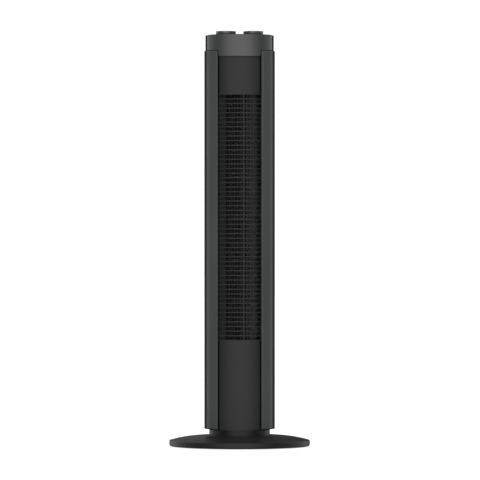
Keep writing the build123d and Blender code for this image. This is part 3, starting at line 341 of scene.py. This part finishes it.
def pointer_mesh(name, knob_name, mark_name):
    """A tapered line that follows the domed top of a knob."""
    low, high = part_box(knob_name)
    axis = (low + high) / 2
    mark_low, mark_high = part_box(mark_name)
    work = bmesh.new()
    rows = []
    steps = 16
    rim = (high.x - low.x) / 2 - 0.9 * MM    # the mark's curve, a little tighter than the dome's
    for i in range(steps + 1):
        y = mark_low.y + (mark_high.y - mark_low.y) * i / steps
        taper = min(1.0, 2.2 * math.sqrt(max(0.0, min(i, steps - i)) / steps) + 0.35)
        half = (mark_high.x - mark_low.x) / 2 * taper
        top = min(dome_height(abs(y - axis.y), rim, high.z - KNOB_CROWN, high.z) + PRINT_RISE, high.z)
        outline = ((-half, top - 0.25 * MM), (-half, top - PRINT_RISE), (-half * 0.7, top),
                   (half * 0.7, top), (half, top - PRINT_RISE), (half, top - 0.25 * MM))
        rows.append([work.verts.new((axis.x + x, y, z)) for x, z in outline])
    for a, b in zip(rows, rows[1:]):
        for i in range(6):
            work.faces.new((a[i], a[(i + 1) % 6], b[(i + 1) % 6], b[i]))
    work.faces.new(rows[0])
    work.faces.new(rows[-1])
    bmesh.ops.recalc_face_normals(work, faces=work.faces)
    mark = bpy.data.meshes.new(name)
    work.to_mesh(mark)
    work.free()
    return mark


def make_knob(side):
    """One control knob and the pointer line let into its domed top."""
    knob_name = f"{side}_knob"
    mark_name = f"{side}_knob_mark"
    low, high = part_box(knob_name)
    shell = lathe(f"{side}_knob_shell", knob_profile(knob_name), (low + high) / 2)
    # The knob shell gets the painted light grey.
    as_piece(f"{side}_knob_shell", shell, knob_name, KNOB_GREY_PAINTED_LIGHT, "grey_plastic", knob_name)
    mark = pointer_mesh(f"{side}_pointer", knob_name, mark_name)
    as_piece(f"{side}_pointer", mark, knob_name, MATERIALS["mark_plastic"], "mark_plastic", mark_name)


def number_mesh(text, size, centre):
    """Flat printed number lying on the deck."""
    curve = bpy.data.curves.new("number", "FONT")
    curve.body = text
    curve.size = size
    curve.align_x = "CENTER"
    curve.align_y = "CENTER"
    curve.extrude = PRINT_RISE
    holder = bpy.data.objects.new("number", curve)
    bpy.context.scene.collection.objects.link(holder)
    bpy.context.view_layer.update()
    mesh = bpy.data.meshes.new_from_object(holder.evaluated_get(bpy.context.evaluated_depsgraph_get()))
    bpy.data.objects.remove(holder)
    mesh.transform(Matrix.Translation(centre))
    return mesh


def tick(work, axis, angle, inner, outer, half_width, low_z, high_z):
    """One raised tick of a dial, pointing at the knob's axis."""
    along = Vector((math.cos(angle), math.sin(angle), 0))
    across = Vector((-along.y, along.x, 0))
    corners = []
    for z in (low_z, high_z):
        for reach, sideways in ((inner, -half_width), (inner, half_width),
                                (outer, half_width), (outer, -half_width)):
            point = along * reach + across * sideways
            corners.append(work.verts.new((axis.x + point.x, axis.y + point.y, z)))
    for face in ((0, 1, 2, 3), (4, 5, 6, 7), (0, 1, 5, 4), (1, 2, 6, 5), (2, 3, 7, 6), (3, 0, 4, 7)):
        work.faces.new([corners[i] for i in face])


def make_dial(name, node_name, numbers, step, span, small_step):
    """Printed dial round a knob: a tick at each step, and the numbers outside the ticks."""
    low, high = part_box(node_name)
    axis = (low + high) / 2
    outer = (high.x - low.x) / 2
    work = bmesh.new()
    count = int(round(span / small_step))
    for i in range(count + 1):
        degrees = i * small_step
        long_tick = abs(degrees / step - round(degrees / step)) < 1e-6
        reach = outer + (2.6 if long_tick else 1.9) * MM
        half_width = (0.28 if long_tick else 0.16) * MM
        angle = math.radians(-90 - degrees)
        tick(work, axis, angle, outer + 1.0 * MM, reach, half_width,
             DECK_TOP - PRINT_DEPTH, DECK_TOP + PRINT_RISE)
    for i, text in enumerate(numbers):
        angle = math.radians(-90 - i * step)
        reach = outer + NUMBER_REACH
        centre = Vector((axis.x + reach * math.cos(angle), axis.y + reach * math.sin(angle), DECK_TOP))
        part = number_mesh(text, NUMBER_SIZE, centre)
        work.from_mesh(part)
        bpy.data.meshes.remove(part)
    bmesh.ops.recalc_face_normals(work, faces=work.faces)
    mesh = bpy.data.meshes.new(name)
    work.to_mesh(mesh)
    work.free()
    as_piece(name, mesh, "tower", MATERIALS["mark_plastic"], "mark_plastic")


def make_button():
    """Swing button with a dished top and a rounded rim."""
    low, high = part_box("swing_button")
    axis = (low + high) / 2
    flange = (high.x - low.x) / 2
    outer = flange - BUTTON_FLANGE
    rim = 0.9 * MM
    dish = [(outer * 0.78 * i / 8, high.z - 0.7 * MM + 0.7 * MM * (i / 8) ** 2) for i in range(8, -1, -1)]
    collar = low.z + BUTTON_STEM
    profile = [(0, low.z), (2.2 * MM, low.z), (2.2 * MM, collar), (flange, collar),
               (flange, collar + BUTTON_FLANGE), (outer, collar + BUTTON_FLANGE)]
    profile += arc(outer - rim, high.z - rim, rim, 0, 90, 6) + dish
    mesh = lathe("swing_button_cap", profile, axis, 96)
    as_piece("swing_button_cap", mesh, "swing_button", MATERIALS["dark_plastic"], "dark_plastic",
             "swing_button")


def make_feet():
    """Rubber feet with round ridges on the tread."""
    low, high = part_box("base_feet")
    ring = high.x - FOOT_RADIUS
    work = bmesh.new()
    for i in range(FOOT_COUNT):
        angle = 2 * math.pi * i / FOOT_COUNT
        axis = Vector((ring * math.cos(angle), ring * math.sin(angle), 0))
        groove = low.z + 0.4 * MM
        tread = [(0, groove), (1.6 * MM, groove), (2.0 * MM, low.z), (3.2 * MM, low.z),
                 (3.6 * MM, groove), (4.6 * MM, groove), (5.0 * MM, low.z), (6.6 * MM, low.z)]
        side = arc(FOOT_RADIUS - 1.0 * MM, low.z + 1.0 * MM, 1.0 * MM, -90, 0, 5)
        side += [(FOOT_RADIUS, high.z), (0, high.z)]
        part = lathe("foot", tread + side, axis, 64)
        work.from_mesh(part)
        bpy.data.meshes.remove(part)
    mesh = bpy.data.meshes.new("ridged_feet")
    work.to_mesh(mesh)
    work.free()
    for face in mesh.polygons:
        face.use_smooth = True
    as_piece("ridged_feet", mesh, "base", MATERIALS["rubber"], "rubber", "base_feet")


DECK_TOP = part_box("top_cap")[1].z
make_knob("speed")
make_knob("timer")
make_dial("speed_dial", "speed_knob", ("0", "1", "2", "3"), 45.0, 135.0, 45.0)
make_dial("timer_dial", "timer_knob", ("0", "30", "60", "90", "120"), 75.0, 300.0, 12.5)
make_button()
make_feet()


# ---------------------------------------------------------------- stage

def make_floor():
    """Plain pale floor under the object."""
    bpy.ops.mesh.primitive_plane_add(size=40, location=(0, 0, 0))
    floor = bpy.context.object
    floor.name = "studio_floor"
    material, tree, shader = new_material("pale_floor")
    shader.inputs["Base Color"].default_value = (0.60, 0.60, 0.60, 1)
    shader.inputs["Roughness"].default_value = 0.9
    shader.inputs["Specular IOR Level"].default_value = 0.0
    shader.inputs["Emission Color"].default_value = (1, 1, 1, 1)
    shader.inputs["Emission Strength"].default_value = 0.80
    floor.data.materials.append(material)
    floor.visible_diffuse = False
    floor.visible_glossy = False


def ramp_of(tree, stops):
    """A grey ramp through (position, value) stops."""
    ramp = tree.nodes.new("ShaderNodeValToRGB")
    line = ramp.color_ramp
    line.interpolation = "EASE"
    while len(line.elements) < len(stops):
        line.elements.new(0.5)
    for element, (position, value) in zip(line.elements, stops):
        element.position = position
        element.color = (value, value, value, 1)
    return ramp


# Light by direction round the object, in degrees from the camera's side, negative to the left.
AROUND = ((-180, 0.08), (-165, 0.08), (-150, 0.34), (-132, 0.62), (-110, 0.46), (-88, 0.33), (-74, 0.08),
          (-56, 0.03), (-40, 0.45), (-20, 1.0), (20, 1.0), (40, 0.45), (56, 0.03), (74, 0.07), (88, 0.30),
          (110, 0.42), (132, 0.58), (150, 0.26), (163, 0.02), (180, 0.0))
# Light by height, from straight down to straight up.
UPWARD = ((-90, 0.25), (-22, 0.42), (0, 0.72), (22, 1.0), (50, 0.5), (90, 0.2))
OVERHEAD = ((-90, 0.07), (35, 0.03), (60, 0.14), (90, 0.16))
LIGHT = 2.4
BACKDROP = 1.1
LENS, SENSOR = 309.6, 36     # in millimetres
CAMERA_AWAY = 7.748
CAMERA_SIDE = 0.75 * MM
CAMERA_DROP = 2.1 * MM


def make_world():
    """A white backdrop, and studio light that changes with direction: a front light and two side panels."""
    world = bpy.data.worlds.new("studio")
    bpy.context.scene.world = world
    world.use_nodes = True
    tree = world.node_tree
    tree.nodes.clear()
    place = tree.nodes.new("ShaderNodeTexCoord")
    split = tree.nodes.new("ShaderNodeSeparateXYZ")
    tree.links.new(place.outputs["Generated"], split.inputs["Vector"])
    flip = tree.nodes.new("ShaderNodeMath")
    flip.operation = "MULTIPLY"
    flip.inputs[1].default_value = -1.0
    tree.links.new(split.outputs["Y"], flip.inputs[0])
    turn = tree.nodes.new("ShaderNodeMath")
    turn.operation = "ARCTAN2"
    tree.links.new(split.outputs["X"], turn.inputs[0])
    tree.links.new(flip.outputs["Value"], turn.inputs[1])
    share = node(tree, "ShaderNodeMapRange", From_Min=-math.pi, From_Max=math.pi)
    tree.links.new(turn.outputs["Value"], share.inputs["Value"])
    around = ramp_of(tree, [((angle + 180) / 360, value) for angle, value in AROUND])
    tree.links.new(share.outputs["Result"], around.inputs["Fac"])
    height = node(tree, "ShaderNodeMapRange", From_Min=-1.0, From_Max=1.0)
    tree.links.new(split.outputs["Z"], height.inputs["Value"])
    upward = ramp_of(tree, [((math.sin(math.radians(angle)) + 1) / 2, value) for angle, value in UPWARD])
    tree.links.new(height.outputs["Result"], upward.inputs["Fac"])
    overhead = ramp_of(tree, [((math.sin(math.radians(angle)) + 1) / 2, value) for angle, value in OVERHEAD])
    tree.links.new(height.outputs["Result"], overhead.inputs["Fac"])
    product = tree.nodes.new("ShaderNodeMath")
    product.operation = "MULTIPLY_ADD"
    tree.links.new(around.outputs["Color"], product.inputs[0])
    tree.links.new(upward.outputs["Color"], product.inputs[1])
    tree.links.new(overhead.outputs["Color"], product.inputs[2])
    light = node(tree, "ShaderNodeBackground", Strength=LIGHT)
    tree.links.new(product.outputs["Value"], light.inputs["Color"])
    white = node(tree, "ShaderNodeBackground", Color=(1, 1, 1, 1), Strength=BACKDROP)
    rays = tree.nodes.new("ShaderNodeLightPath")
    mix = tree.nodes.new("ShaderNodeMixShader")
    tree.links.new(rays.outputs["Is Camera Ray"], mix.inputs["Fac"])
    tree.links.new(light.outputs["Background"], mix.inputs[1])
    tree.links.new(white.outputs["Background"], mix.inputs[2])
    out = tree.nodes.new("ShaderNodeOutputWorld")
    tree.links.new(mix.outputs["Shader"], out.inputs["Surface"])


def make_camera():
    """A long lens level with the middle of the tower."""
    middle = (cad_low + cad_high) / 2
    data = bpy.data.cameras.new("camera")
    data.lens = LENS
    data.sensor_width = SENSOR
    data.clip_start = 0.1
    data.clip_end = 200
    camera = bpy.data.objects.new("camera", data)
    bpy.context.scene.collection.objects.link(camera)
    camera.location = (middle.x + CAMERA_SIDE, -CAMERA_AWAY, middle.z - CAMERA_DROP)
    camera.rotation_euler = (math.radians(90), 0, 0)
    bpy.context.scene.camera = camera


make_floor()
make_world()
make_camera()
bpy.context.scene.view_settings.view_transform = "Standard"
bpy.context.scene.view_settings.look = "None"
